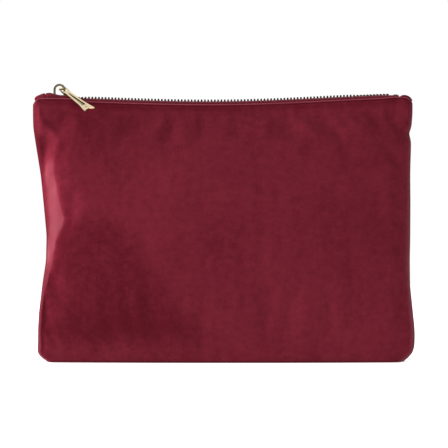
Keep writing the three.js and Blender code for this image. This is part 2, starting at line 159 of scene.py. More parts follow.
class FinishSettings(bpy.types.PropertyGroup):
    """Colours of the bag's materials."""

    velvet: colour("Velvet", (0.0715, 0.0041, 0.0093), "Burgundy pile")
    # The lighter end of the velvet's tone; the painted highlights of the panel marks also draw the
    # colour towards it, and their painted shade towards the darker velvet.
    velvet_light: colour("Brushed velvet", (0.194, 0.0185, 0.035), "The pile brushed the other way")
    # Painted highlight: the colour of the folded edge and of the left pleat where light catches
    # them.
    velvet_highlight: colour("Raised velvet", (0.195, 0.041, 0.056), "The pile's tips on raised creases")
    velvet_sheen: colour("Sheen", (1.0, 0.38, 0.45), "Tint of the light on the pile's tips")
    satin: colour("Satin", (0.09, 0.008, 0.014), "Lining")
    tape: colour("Tape", (0.13, 0.011, 0.021), "Woven zip tape")
    thread: colour("Thread", (0.12, 0.01, 0.02), "Sewing thread")
    teeth: colour("Teeth", (0.085, 0.04, 0.026), "Antique brass")
    gold: colour("Gold", (0.6, 0.515, 0.35), "Polished pale gold of the puller")
    # Painted shade: a darker copy of the gold for the slider and its arch, standing for the dark
    # room that they mirror.
    shaded_gold: colour("Dark gold", (0.2, 0.155, 0.075), "Darker gold of the slider and its arch")


class StageSettings(bpy.types.PropertyGroup):
    """The floor, the lights and the camera."""

    lens: FloatProperty(
        name="Lens", description="Focal length", default=120, subtype="DISTANCE_CAMERA"
    )
    view_width: length("View width", 344.3, "Width of what the camera sees at the zip")
    aim_x: length("Aim across", 0.2, "Middle of the view across the bag")
    aim_z: length("Aim height", 105.7, "Middle of the view up the bag")
    floor_size: length("Floor size", 3000, "Side of the floor")
    key: power("Key light", 95, "Power of the left softbox")
    fill: power("Fill light", 28, "Power of the front softbox")
    top: power("Top light", 6, "Power of the overhead softbox")
    world: FloatProperty(name="World", description="Strength of the room's light", default=0.16)


class BagSettings(bpy.types.PropertyGroup):
    """All that a user can change."""

    panels: PointerProperty(type=PanelSettings)
    zip: PointerProperty(type=ZipSettings)
    fittings: PointerProperty(type=FittingSettings)
    finishes: PointerProperty(type=FinishSettings)
    stage: PointerProperty(type=StageSettings)
    seed: IntProperty(name="Seed", description="Picks the cloth's soft unevenness", default=7)


def settings():
    """The sizes and colours that the scene is set to."""
    return bpy.context.scene.makeup_bag


# ---- the outline, read off the frame ------------------------------------------------------

# How far in from the side seam a panel turns to face forwards, in millimetres, as
# (height, width) pairs up the side. The left side has a soft pleat at half height.
LEFT_ROLL = ((0, 5), (25, 4), (55, 4.5), (78, 7), (93, 9.5), (104, 15), (110, 17), (120, 15),
             (144, 12), (156, 14), (170, 17), (185, 9), (200, 4))
RIGHT_ROLL = ((0, 8), (30, 7), (100, 8), (150, 7), (200, 4))
BACK_ROLL = ((0, 8), (100, 12), (150, 10), (200, 4))
# Where the left pleat starts to rise, as (height, share of its width) pairs.
PLEAT_START = ((90, 0), (120, 0.15), (144, 0.2), (156, 0.4), (170, 0.6))
CREASE = 0.07  # how softly the left pleat bends over, as a share of its width squared


def ease(value, low, high):
    """Rises smoothly from 0 at low to 1 at high."""
    t = np.clip((value - low) / (high - low), 0, 1)
    return t * t * (3 - 2 * t)


def bell(value, middle, width):
    """1 at the middle, falling smoothly to 0 a few widths away on both sides."""
    return np.exp(-(((value - middle) / width) ** 2))


def eased(samples):
    """Samples with the corners between the frame's flat facets taken off."""
    padded = np.pad(np.array(samples), 1, mode="edge")
    return padded[:-2] / 4 + padded[1:-1] / 2 + padded[2:] / 4


def pleat(near, height):
    """How far up the left pleat a point is: 0 where it starts to rise and 1 on its ridge."""
    start = along(PLEAT_START, height) / MM
    return (near / along(LEFT_ROLL, height) - start) / (1 - start)


def along(pairs, place):
    """A value between (place, value) pairs in millimetres, at a place in metres."""
    at, value = np.array(pairs).T * MM
    return np.interp(place, at, value)


class Outline:
    """The bag's side seams, its depth and the line of its zip."""

    step = 2 * MM
    low = 0.5 * MM
    high = 192 * MM
    edge_depth = 1.4 * MM  # inside the frame's side edge, which is 0.7 to 2.1 mm from the middle
    far = 0.5
    corner_out = 2.1 * MM  # how far the left bottom corner stands out
    pinch_in = 2.4 * MM  # how far the right seam is drawn in near its top

    def __init__(self):
        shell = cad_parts["front_shell"].data
        tree = BVHTree.FromPolygons(
            [v.co for v in shell.vertices], [p.vertices for p in shell.polygons]
        )
        self.heights = np.arange(self.low, self.high, self.step)
        found = {"left": [], "right": [], "depth": []}
        for z in self.heights:
            left = Vector((-self.far, -self.edge_depth, z))
            right = Vector((self.far, -self.edge_depth, z))
            front = Vector((0, -self.far, z))
            found["left"].append(tree.ray_cast(left, Vector((1, 0, 0)))[0].x)
            found["right"].append(tree.ray_cast(right, Vector((-1, 0, 0)))[0].x)
            found["depth"].append(-tree.ray_cast(front, Vector((0, 1, 0)))[0].y)
        corner = bell(self.heights, 4.5 * MM, 6 * MM)
        pinch = bell(self.heights, 175 * MM, 2.7 * MM)
        self.left = eased(found["left"]) - self.corner_out * corner
        self.right = eased(found["right"]) - self.pinch_in * pinch
        self.depth = eased(found["depth"])
        tape = np.array([v.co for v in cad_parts["front_tape"].data.vertices])
        self.zip_x = np.unique(np.round(tape[:, 0], 5))
        tops = [tape[np.abs(tape[:, 0] - x) < 0.01 * MM][:, 2].max() for x in self.zip_x]
        self.zip_z = np.array(tops) - 0.35 * MM  # half the frame's tape above the chain

    def chain(self, x):
        """Height of the middle of the chain."""
        return np.interp(x, self.zip_x, self.zip_z)

    def edges(self, height):
        """Places of the left and the right side seam."""
        left = np.interp(height, self.heights, self.left)
        return left, np.interp(height, self.heights, self.right)

    def across(self, side, height, inset=0.0):
        """Place across the bag: side is -1 at the left seam and 1 at the right one."""
        left, right = self.edges(height)
        return (left + inset) + (right - left - 2 * inset) * (side + 1) / 2

    def fold(self, x, face):
        """Height of a panel's folded top edge."""
        s = settings().panels
        left, right = self.edges(self.high)
        level = self.chain(x) - s.fold_drop
        lift = s.end_lift if face == FRONT else s.end_lift / 2
        level = level + lift * (1 - ease(x, -121 * MM, -100 * MM))
        level = level + lift / 3 * ease(x, 118 * MM, 130 * MM) * (face == FRONT)
        near = np.minimum(x - left, right - x)
        corner = np.clip(1 - near / s.corner_width, 0, 1)
        return level - s.corner_drop * corner ** 2.2


OUTLINE = Outline()


def wall(side, height, face, inset=0.0):
    """Points of a panel's outside, at shares of its width and at heights."""
    s = settings().panels
    left, right = OUTLINE.edges(height)
    x = OUTLINE.across(side, height, inset)
    rolls = (LEFT_ROLL, RIGHT_ROLL) if face == FRONT else (BACK_ROLL, BACK_ROLL)
    roll = np.where(side < 0, along(rolls[0], height), along(rolls[1], height))
    edge = np.maximum(np.minimum(x - inset - left, right - x - inset) / roll, 0)
    shoulder = np.maximum(1 - (1 - np.minimum(edge, 1)) ** 1.7, 0) ** 0.8
    if face == FRONT:
        near = np.maximum(x - inset - left, 0)
        climb = pleat(near, height)
        creased = np.clip((climb + 1 - np.sqrt((climb - 1) ** 2 + CREASE)) / 2 + CREASE / 2, 0, 1)
        foot = 0.24 * ease(near, -2 * MM, 2.5 * MM)
        creased = foot + (1 - foot) * creased
        folded = ease(height, 45 * MM, 75 * MM) * (1 - ease(height, 164 * MM, 184 * MM))
        folded = folded * (side < 0)
        shoulder = shoulder + (creased - shoulder) * folded
    lens = 1 - np.abs(side) ** 2.4
    rise = np.clip(height / (200 * MM), 0, 1) ** 8
    sides = s.side_share + (1 - s.side_share) * rise
    fullness = sides * shoulder + (1 - sides) * lens
    depth = np.interp(height, OUTLINE.heights, OUTLINE.depth)
    y = s.seam_gap + (depth - s.seam_gap) * fullness
    return np.stack([x, face * y, height + 0 * x], axis=-1)


def spread(count):
    """Shares of the width from -1 to 1, closer together towards the side seams."""
    t = np.linspace(-1, 1, count)
    return np.sign(t) * (1 - (1 - np.abs(t)) ** 1.5)


def soft_noise(points, size, seed):
    """Smooth unevenness between about -1 and 1, in patches of the given size."""
    shift = Vector((seed * 3.7, seed * 1.3, seed * 2.1))
    flat = points.reshape(-1, 3)
    values = [noise.noise(Vector(p) / size + shift) for p in flat]
    return np.array(values).reshape(points.shape[:-1])


# ---- making pieces ------------------------------------------------------------------------


def alone(piece):
    """Makes a piece the only selected one, and the active one."""
    bpy.ops.object.select_all(action="DESELECT")
    piece.select_set(True)
    bpy.context.view_layer.objects.active = piece


def named(name):
    """Names the object that an operator has just added."""
    piece = bpy.context.object
    piece.name = name
    piece.data.name = name
    return piece


def places(piece):
    """The places of a piece's points, one row for each."""
    flat = np.empty(len(piece.data.vertices) * 3, np.float64)
    piece.data.vertices.foreach_get("co", flat)
    return flat.reshape(-1, 3)


def put(piece, points):
    """Moves a piece's points to the given places."""
    piece.data.vertices.foreach_set("co", np.asarray(points, np.float64).ravel())
    piece.data.update()


def grid(name, points, cut, outwards):
    """A grid in the places of points[column][row]. Its UV map is the flat cut, in metres."""
    columns, rows = points.shape[:2]
    bpy.ops.mesh.primitive_grid_add(x_subdivisions=columns - 1, y_subdivisions=rows - 1, size=1)
    piece = named(name)
    at = np.rint((places(piece)[:, :2] + 0.5) * [columns - 1, rows - 1]).astype(int)
    put(piece, points[at[:, 0], at[:, 1]])
    for corner in piece.data.uv_layers.active.data:
        corner.uv = (corner.uv[0] * cut[0], corner.uv[1] * cut[1])
    normals = np.array([p.normal for p in piece.data.polygons])
    edit(piece)
    bpy.ops.mesh.remove_doubles(threshold=0.02 * MM)
    if (normals @ np.array(outwards)).mean() < 0:
        bpy.ops.mesh.flip_normals()
    leave()
    return piece


def edit(piece, everything=True):
    """Goes into edit mode on one piece, with all or none of it selected."""
    alone(piece)
    bpy.ops.object.mode_set(mode="EDIT")
    bpy.ops.mesh.select_mode(type="VERT")
    bpy.ops.mesh.select_all(action="SELECT" if everything else "DESELECT")


def leave():
    """Goes back to object mode."""
    bpy.ops.object.mode_set(mode="OBJECT")


def leave_closed():
    """Turns all the faces of a closed piece outwards and goes back to object mode."""
    bpy.ops.mesh.select_all(action="SELECT")
    bpy.ops.mesh.normals_make_consistent(inside=False)
    leave()


def finished(piece, kind, **values):
    """Adds a modifier, sets it and applies it."""
    alone(piece)
    modifier = piece.modifiers.new(kind.title(), kind)
    for key, value in values.items():
        setattr(modifier, key, value)
    bpy.ops.object.modifier_apply(modifier=modifier.name)
    return piece


def bevelled(piece, width, segments, degrees):
    """Rounds the edges at which a piece turns by more than an angle."""
    return finished(piece, "BEVEL", width=width, segments=segments, limit_method="ANGLE",
                    angle_limit=math.radians(degrees))


def subdivided(piece, levels=1):
    """Splits every face into four and softens the piece."""
    return finished(piece, "SUBSURF", levels=levels, render_levels=levels)


def smooth(piece, degrees=None):
    """Shades a piece smoothly, all over or only where it turns by less than an angle."""
    alone(piece)
    if degrees is None:
        bpy.ops.object.shade_smooth()
    else:
        bpy.ops.object.shade_smooth_by_angle(angle=math.radians(degrees))
    return piece


def placed(piece):
    """Puts a piece's place, turn and size into its mesh."""
    alone(piece)
    bpy.ops.object.transform_apply(location=True, rotation=True, scale=True)
    return piece


def round_sharp(piece, radius, segments=3, degrees=50):
    """Rounds a piece's sharp edges."""
    edit(piece, everything=False)
    bpy.ops.mesh.select_mode(type="EDGE")
    bpy.ops.mesh.edges_select_sharp(sharpness=math.radians(degrees))
    bpy.ops.mesh.bevel(offset=radius, segments=segments, profile=0.5, affect="EDGES")
    leave_closed()
    return piece


def thickened(piece, thickness, offset=-1.0):
    """Makes a sheet a closed piece, inwards from its outside or to both sides of it."""
    return finished(piece, "SOLIDIFY", thickness=thickness, offset=offset, thickness_clamp=1)


def refined(node, name, radius):
    """A copy of a packed metal part with its facets merged and its edges rounded."""
    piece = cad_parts[node].copy()
    piece.data = piece.data.copy()
    for key in list(piece.keys()):
        del piece[key]
    piece.parent = None
    bpy.context.scene.collection.objects.link(piece)
    piece.name = name
    piece.data.name = name
    edit(piece)
    bpy.ops.mesh.remove_doubles(threshold=0.01 * MM)
    bpy.ops.mesh.dissolve_limited(angle_limit=math.radians(2))
    leave_closed()
    bevelled(piece, radius, 3, 32)
    return smooth(piece, 40)


def array(piece, count, step):
    """Repeats a piece along X."""
    return finished(
        piece, "ARRAY", count=count, use_relative_offset=False, use_constant_offset=True,
        constant_offset_displace=(step, 0, 0),
    )


def dress(piece, material, body=None, stands_for=()):
    """Gives a piece its material, hides the frame parts that it stands for, and lets it ride on a
    body.
    """
    piece.data.materials.clear()
    piece.data.materials.append(material)
    if stands_for:
        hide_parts(*stands_for)
    if body:
        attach(piece, body)
    return piece


# Bounds of the back half's lean away from the front one: nothing at the ends, most in between.
LEAN = {"left": -132 * MM, "right": 118 * MM, "low": 1.7 * MM, "high": 30 * MM}


def lean(piece):
    """Puts a piece's place into its mesh and works out how far it would part from the front half
    between the side seams; these weights are not used.
    """
    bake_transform(piece)
    points = places(piece)
    middle = (LEAN["left"] + LEAN["right"]) / 2
    half = (LEAN["right"] - LEAN["left"]) / 2
    weight = np.clip(1 - ((points[:, 0] - middle) / half) ** 2, 0, 1)
    weight *= ease(points[:, 2], LEAN["low"], LEAN["high"])


# ---- materials ----------------------------------------------------------------------------


def sign(operation, swapped=False):
    """What one of Python's own signs does between a wire and another value."""

    def method(wire, other):
        pair = (other, wire) if swapped else (wire, other)
        return wire.finish.maths(operation, *pair)

    return method


class Wire:
    """A value in a material's nodes, on which Python's own signs do maths."""

    def __init__(self, finish, socket):
        self.finish = finish
        self.socket = socket

    __add__ = sign("ADD")
    __radd__ = sign("ADD", swapped=True)
    __sub__ = sign("SUBTRACT")
    __rsub__ = sign("SUBTRACT", swapped=True)
    __mul__ = sign("MULTIPLY")
    __rmul__ = sign("MULTIPLY", swapped=True)


class Finish:
    """A material and the nodes that are drawn into its Principled shader."""

    def __init__(self, name, **constants):
        self.material = bpy.data.materials.new(name)
        self.material.use_nodes = True
        self.tree = self.material.node_tree
        self.shader = self.tree.nodes["Principled BSDF"]
        self.draw(**constants)

    def node(self, kind, settings=None, inputs=None, output=0):
        """One node: its settings first, then the values or wires of its sockets."""
        made = self.tree.nodes.new(kind)
        for key, value in (settings or {}).items():
            setattr(made, key, value)
        for key, value in (inputs or {}).items():
            self.feed(made.inputs[key], value)
        return Wire(self, made.outputs[output])

    def feed(self, socket, value):
        """Draws a wire to a socket, or sets it to a value."""
        if isinstance(value, Wire):
            self.tree.links.new(value.socket, socket)
        else:
            socket.default_value = value

    def maths(self, operation, *values):
        return self.node("ShaderNodeMath", {"operation": operation}, dict(enumerate(values)))

    def draw(self, **inputs):
        """Feeds the shader's own sockets, such as base_color."""
        for key, value in inputs.items():
            socket = key.replace("_", " ").title().replace("Ior", "IOR")
            self.feed(self.shader.inputs[socket], value)
        return self.material

    def place(self, kind="Object"):
        return self.node("ShaderNodeTexCoord", output=kind)

    def stretched(self, vector, scale):
        """Coordinates multiplied along each axis."""
        inputs = {"Vector": vector, "Scale": scale}
        return self.node("ShaderNodeMapping", {"vector_type": "POINT"}, inputs)

    def axes(self, vector):
        split = self.node("ShaderNodeSeparateXYZ", inputs={"Vector": vector})
        outputs = split.socket.node.outputs
        return [Wire(self, outputs[i]) for i in range(3)]

    def noise(self, vector, size, detail=2.0, rough=0.5):
        """Noise in patches of about the given size, from 0 to 1."""
        inputs = {"Vector": vector, "Scale": 1 / size, "Detail": detail, "Roughness": rough}
        return self.node("ShaderNodeTexNoise", {"noise_dimensions": "3D"}, inputs)

    def ease(self, value, low, high):
        inputs = {"Value": value, "From Min": low, "From Max": high}
        return self.node("ShaderNodeMapRange", {"interpolation_type": "SMOOTHSTEP"}, inputs)

    def blend(self, factor, first, second):
        """A colour between two colours."""
        first = first if isinstance(first, Wire) else (*first, 1)
        second = second if isinstance(second, Wire) else (*second, 1)
        mix = {"data_type": "RGBA", "clamp_factor": True}
        return self.node("ShaderNodeMix", mix, {0: factor, 6: first, 7: second}, output=2)

    def bump(self, height, depth, strength=1.0):
        inputs = {"Height": height, "Distance": depth, "Strength": strength}
        return self.node("ShaderNodeBump", inputs=inputs)


def velvet():
    """Short pile with a soft sheen, brushed in broad patches, with the panels' painted highlights
    and painted shade added to its colour.
    """
    s = settings().finishes
    f = Finish("burgundy_velvet", specular_ior_level=0.06, sheen_weight=0.17, sheen_roughness=0.4,
               sheen_tint=(*s.velvet_sheen, 1))
    here = f.place()
    x, _, z = f.axes(here)
    clouds = f.noise(here, 70 * MM, 3)
    streaks = f.noise(f.stretched(here, (1, 1, 0.3)), 9 * MM, 3)
    marks = f.noise(f.stretched(here, (0.85, 1, 1.1)), 4.5 * MM, 3, 0.6)
    tufts = f.noise(here, 1.3 * MM, 3, 0.65)
    pile = f.noise(here, 0.42 * MM, 2)
    # The lower left patch where the nap lies the other way: the brushing is real, but the darkness
    # that such nap shows in this light is painted into the colour as painted shade.
    slanted = x * 0.84 + z * 0.54
    brushed = 1 - f.ease(slanted, -18 * MM, 6 * MM)
    brushed = brushed * f.ease(z, 8 * MM, 28 * MM) * (1 - f.ease(z, 98 * MM, 122 * MM))
    # The panels' painted highlights and painted shade, read from their 'pile' attribute.
    shade = f.node("ShaderNodeAttribute", {"attribute_name": "pile"}, output="Fac")
    light = 0.36 + (clouds - 0.5) * 0.4 + (streaks - 0.5) * 0.3 + (marks - 0.5) * 0.5
    light = light + (tufts - 0.5) * 0.35 + (pile - 0.5) * 0.15 - brushed * 0.27 + shade
    tips = f.noise(here, 2.6 * MM, 2)
    rough = 0.86 + tips * 0.12
    height = tufts * 0.6 + pile * 0.4 + streaks * 0.8
    # light sets the colour between the two velvet tones: the pile's random tone, the brushed patch
    # and the painted light and shade.
    cloth = f.blend(light, s.velvet, s.velvet_light)
    return f.draw(
        # Painted highlight: where the painted marks are lightest, the colour turns to the highlight
        # colour.
        base_color=f.blend(f.ease(shade, 0.08, 0.42), cloth, s.velvet_highlight),
        roughness=rough,
        normal=f.bump(height, 0.35 * MM, 0.55),
    )


def satin():
    """Smooth lining with a fine cross weave and broken highlights."""
    s = settings().finishes
    f = Finish("lining_satin", specular_ior_level=0.45, sheen_weight=0.12)
    here = f.place()
    flat = f.place("UV")
    u, v, _ = f.axes(flat)
    warp = f.maths("SINE", u * (2 * math.pi / (0.28 * MM)))
    weft = f.maths("SINE", v * (2 * math.pi / (0.34 * MM)))
    clouds = f.noise(here, 24 * MM, 3)
    slubs = f.noise(f.stretched(flat, (4, 0.3, 1)), 2.2 * MM, 2)
    dark = [c * 0.6 for c in s.satin]
    tone = clouds * 0.6 + slubs * 0.5
    return f.draw(
        base_color=f.blend(tone, dark, s.satin),
        roughness=0.38 + clouds * 0.16,
        normal=f.bump(warp * 0.25 + weft * 0.35 + clouds * 3, 0.06 * MM, 0.5),
    )


def woven_tape():
    """Herringbone tape: diagonals that turn at every rib."""
    s = settings().finishes
    f = Finish("woven_tape", specular_ior_level=0.2, sheen_weight=0.3, sheen_roughness=0.4,
               sheen_tint=(*s.velvet_sheen, 1))
    here = f.place()
    u, v, _ = f.axes(f.place("UV"))
    rib = f.maths("PINGPONG", v, 0.9 * MM)
    twill = f.maths("SINE", (u + rib * 1.1) * (2 * math.pi / (0.75 * MM)))
    ends = f.maths("SINE", v * (2 * math.pi / (0.45 * MM)))
    fuzz = f.noise(here, 0.6 * MM, 2)
    weave = 0.5 + twill * 0.3 + ends * 0.12
    dark = [c * 0.5 for c in s.tape]
    light = [c * 1.5 for c in s.tape]
    return f.draw(
        base_color=f.blend(weave * 0.8 + fuzz * 0.25, dark, light),
        roughness=0.8 + fuzz * 0.15,
        normal=f.bump(weave + fuzz * 0.3, 0.18 * MM, 0.7),
    )


def thread():
    """Twisted polyester thread."""
    s = settings().finishes
    f = Finish("sewing_thread", specular_ior_level=0.35)
    here = f.place()
    x, _, z = f.axes(here)
    twist = f.maths("SINE", (x + z) * (2 * math.pi / (0.5 * MM)))
    fuzz = f.noise(here, 0.3 * MM, 2)
    dark = [c * 0.45 for c in s.thread]
    return f.draw(
        base_color=f.blend(0.55 + twist * 0.35 + (fuzz - 0.5) * 0.3, dark, s.thread),
        roughness=0.55 + fuzz * 0.2,
        normal=f.bump(twist, 0.08 * MM, 0.6),
    )


def antique_brass():
    """Dark brass with lighter metal in small patches."""
    s = settings().finishes
    f = Finish("antique_brass", metallic=1.0)
    here = f.place()
    tarnish = f.noise(here, 0.9 * MM, 3)
    grain = f.noise(here, 0.12 * MM, 2)
    dark = [c * 0.35 for c in s.teeth]
    return f.draw(
        base_color=f.blend(f.ease(tarnish, 0.35, 0.7), dark, s.teeth),
        roughness=0.34 + tarnish * 0.22 + (grain - 0.5) * 0.1,
        normal=f.bump(grain, 0.02 * MM, 0.4),
    )


def plating(name, tint):
    """Gold plating with faint polishing lines, and painted shade on the floor of the puller's
    groove.
    """
    f = Finish(name, metallic=1.0)
    here = f.place()
    cloud = f.noise(here, 3 * MM, 3)
    lines = f.noise(f.stretched(here, (0.25, 3, 3)), 0.5 * MM, 3)
    warm = [tint[0], tint[1] * 0.9, tint[2] * 0.78]
    painted_groove_shade = [tint[0] * 0.2, tint[1] * 0.18, tint[2] * 0.12]
    # Painted shade: the floor of the puller's groove is darkened towards a dim copy of the gold.
    groove = f.node("ShaderNodeAttribute", {"attribute_name": "groove"}, output="Fac")
    return f.draw(
        base_color=f.blend(groove * 0.85, f.blend(f.ease(cloud, 0.35, 0.7), tint, warm), painted_groove_shade),
        roughness=0.13 + cloud * 0.1 + (lines - 0.5) * 0.08,
        normal=f.bump(lines * 0.5 + cloud * 2, 0.01 * MM, 0.35),
    )


def pale_gold():
    return plating("pale_gold", settings().finishes.gold)


# Painted shade: the darker copy of the gold, for the slider and its arch.
def shaded_gold():
    return plating("shaded_gold", settings().finishes.shaded_gold)


MATERIALS = {}


def material(maker):
    """Each material is made once, when the first piece needs it."""
    if maker.__name__ not in MATERIALS:
        MATERIALS[maker.__name__] = maker()
    return MATERIALS[maker.__name__]


# ---- velvet panels ------------------------------------------------------------------------

COLUMNS = 85
BASE_ROWS = 6
CORNER_ROWS = 6
WALL_ROWS = 54
# Where the last rows lie, in millimetres under the folded edge.
FOLD_DISTANCES = (9, 6.5, 4.6, 3.4, 2.6, 2.1, 1.7, 1.35, 1, 0.7, 0.35, 0)

# What a panel's flat cut has over its finished size.
SIDE_ALLOWANCE = 8 * MM
HALF_BASE = 13 * MM
TOP_TURN = 10 * MM

# How much each painted mark lightens or darkens the velvet: painted highlights on the folded edge
# (lip) and on the left pleat (lobe); painted shade in the groove under the fold, in the band below
# it, along the side seams, round the base, beside the pleat (valley), in the hollow at the top left
# and along the left edge (rim); the painted shadow of the puller (shadow); and painted shade
# towards the bottom (low) and towards the top (high).
PAINTED_LIGHT_MARKS = {
    "lip": 0.8,
    "groove": -0.4,
    "band": -0.2,
    "seam": -0.3,
    "base": -0.5,
    "lobe": 0.27,
    "shadow": -0.16,
    "hollow": -0.15,
    "valley": -0.14,
    "low": -0.07,
    "high": -0.06,
    "rim": -0.28,
}


def panel_points(face):
    """The outside of a panel, from the bottom seam, round the base and up to the fold."""
    s = settings().panels
    side = spread(COLUMNS)
    radius = s.base_radius
    edge = wall(side, np.full(COLUMNS, radius), face)
    rows = []
    for t in np.linspace(0, 1, BASE_ROWS, endpoint=False):
        x = OUTLINE.across(side, np.zeros(COLUMNS))
        reach = np.maximum(np.abs(edge[:, 1]) - radius, s.seam_gap)
        y = face * (s.seam_gap + (reach - s.seam_gap) * t)
        rows.append(np.stack([x, y, 0 * x], axis=-1))
    for t in np.linspace(0, 1, CORNER_ROWS, endpoint=False):
        turn = t * math.pi / 2
        height = radius * (1 - math.cos(turn))
        x = OUTLINE.across(side, np.full(COLUMNS, height))
        reach = np.maximum(np.abs(edge[:, 1]) - radius * (1 - math.sin(turn)), s.seam_gap)
        rows.append(np.stack([x, face * reach, 0 * x + height], axis=-1))
    top = OUTLINE.fold(OUTLINE.across(side, np.full(COLUMNS, Outline.high)), face)
    last = top - FOLD_DISTANCES[0] * MM
    for t in np.linspace(0, 1, WALL_ROWS, endpoint=False):
        rows.append(wall(side, radius + (last - radius) * t, face))
    for under in FOLD_DISTANCES:
        row = wall(side, top - under * MM, face)
        pressed = bell(under * MM, s.groove_drop, 0.5 * MM)
        row[:, 1] -= face * s.groove * pressed
        rows.append(row)
    return np.stack(rows, axis=1)


def uneven(points, face):
    """Adds the soft hollows and swells of handled cloth, away from the seams."""
    seed = settings().seed + face
    side = np.abs(np.linspace(-1, 1, points.shape[0]))[:, None]
    z = points[..., 2]
    free = (1 - ease(side, 0.86, 1)) * ease(z, 2 * MM, 25 * MM) * (1 - ease(z, 178 * MM, 196 * MM))
    swell = soft_noise(points, 70 * MM, seed) * 0.6 * MM
    swell = swell + soft_noise(points, 24 * MM, seed + 5) * 0.2 * MM
    made = points.copy()
    made[..., 1] += face * swell * free
    return made


def blown(piece, held):
    """Lets the cloth swell under a little pressure where it isn't held by a seam."""
    s = settings().panels
    start = places(piece)
    sewn = piece.vertex_groups.new(name="sewn")
    for index, weight in enumerate(held):
        sewn.add([index], float(weight), "REPLACE")
    modifier = piece.modifiers.new("Cloth", "CLOTH")
    cloth = modifier.settings
    cloth.quality = 6
    cloth.mass = 0.3
    cloth.tension_stiffness = 12
    cloth.compression_stiffness = 12
    cloth.shear_stiffness = 4
    cloth.bending_stiffness = 0.6
    cloth.use_pressure = True
    cloth.uniform_pressure_force = s.blow
    cloth.vertex_group_mass = sewn.name
    cloth.shrink_min = -0.012
    cloth.effector_weights.gravity = 0
    modifier.collision_settings.use_collision = False
    scene = bpy.context.scene
    for number in range(1, 21):
        scene.frame_set(number)
    body = piece.evaluated_get(bpy.context.evaluated_depsgraph_get())
    flat = np.empty(len(start) * 3)
    body.data.vertices.foreach_get("co", flat)
    move = flat.reshape(-1, 3) - start
    far = np.linalg.norm(move, axis=1, keepdims=True)
    move *= np.minimum(1, s.blow_cap / np.maximum(far, 1e-9))
    piece.modifiers.remove(modifier)
    piece.vertex_groups.remove(sewn)
    scene.frame_set(1)
    put(piece, start + move)


def pleat_light_and_shade(points):
    """The painted light and shade that only the front panel has: a painted highlight on its pleat,
    painted shade round it, a painted shadow under the puller, and painted shade towards the bottom
    and the top.
    """
    x, _, z = points.T
    left, _ = OUTLINE.edges(z)
    near = x - left
    climb = pleat(near, z)
    lobe = ease(climb, -0.1, 0.3) * (1 - ease(climb, 0.86, 1.14))
    lobe *= ease(z, 40 * MM, 80 * MM) * (1 - ease(z, 150 * MM, 172 * MM))
    lobe *= 1 + 0.35 * soft_noise(points * np.array([1, 1, 0.5]), 7 * MM, settings().seed + 80)
    valley = bell(near - along(LEFT_ROLL, z), 5 * MM, 5 * MM)
    valley *= ease(z, 50 * MM, 80 * MM) * (1 - ease(z, 165 * MM, 180 * MM))
    unfolded = 1 - ease(z, 60 * MM, 85 * MM) + ease(z, 158 * MM, 172 * MM)
    return {
        "lobe": lobe,
        "shadow": bell(x, -112 * MM, 26 * MM) * bell(z, 178 * MM, 24 * MM),
        "hollow": bell(x, -136 * MM, 5 * MM) * bell(z, 168 * MM, 14 * MM),
        "valley": valley,
        "low": 1 - ease(z, 5 * MM, 50 * MM),
        "high": ease(z, 140 * MM, 170 * MM),
        "rim": bell(near, 0, 4 * MM) * unfolded,
    }


def paint_light_and_shade(piece, face):
    """Paints light and shade on a panel: a painted highlight on the folded edge, painted shade in
    the groove under it and in a band below, along the side seams and round the base.

    The values are added to the pile's lightness by its material.
    """
    points = places(piece)
    x, _, z = points.T
    under = OUTLINE.fold(x, face) - z
    left, right = OUTLINE.edges(z)
    marks = {
        "lip": bell(under, 0.2 * MM, 0.6 * MM),
        "groove": bell(under, settings().panels.groove_drop, 0.4 * MM),
        "band": bell(under, 3.6 * MM, 2.2 * MM),
        "seam": bell(np.minimum(x - left, right - x), 0, 1.1 * MM),
        "base": 1 - ease(z, 0.5 * MM, 2.6 * MM),
    }
    if face == FRONT:
        marks.update(pleat_light_and_shade(points))
    value = sum(PAINTED_LIGHT_MARKS[name] * mark for name, mark in marks.items())
    # The painted light and shade are kept in the panel's 'pile' attribute, which the velvet adds to
    # its colour.
    layer = piece.data.attributes.new("pile", "FLOAT", "POINT")
    layer.data.foreach_set("value", value.astype(np.float32))


def held_edges(piece, face):
    """How firmly each point is held: fully along the seams, the base and the top."""
    points = places(piece)
    z = points[:, 2]
    left, right = OUTLINE.edges(z)
    near = np.minimum(points[:, 0] - left, right - points[:, 0])
    top = OUTLINE.fold(points[:, 0], face) - z
    free = ease(near, 1 * MM, 7 * MM) * ease(z, 3 * MM, 9 * MM) * ease(top, 4 * MM, 16 * MM)
    return 1 - free


def make_panel(name, face, node):
    """One velvet panel: cut, blown, thickened, laid flat on the floor and given its painted light
    and shade.
    """
    s = settings().panels
    low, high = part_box(node)
    cut = (high.x - low.x + 2 * SIDE_ALLOWANCE, high.z + HALF_BASE + TOP_TURN)
    points = uneven(panel_points(face), face)
    piece = grid(name, points, cut, (0, face, 0))
    blown(piece, held_edges(piece, face))
    thickened(piece, s.thickness)
    round_sharp(piece, 0.42 * MM)
    subdivided(piece)
    smooth(piece)
    flat = places(piece)
    flat[:, 2] = np.maximum(flat[:, 2], 0)
    put(piece, flat)
    paint_light_and_shade(piece, face)
    dress(piece, material(velvet), stands_for=[node])
    return piece


class MAKEUPBAG_OT_panels(bpy.types.Operator):
    """Cuts and sews the two velvet panels"""

    bl_idname = "makeup_bag.panels"
    bl_label = "Velvet panels"

    def execute(self, context):
        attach(make_panel("front_panel", FRONT, "front_shell"), "front_half")
        lean(make_panel("back_panel", BACK, "back_shell"))
        return {"FINISHED"}


# ---- seam allowances ----------------------------------------------------------------------


SEAM_CORNER = 14 * MM  # radius of a seam's outer edge at the bottom corners


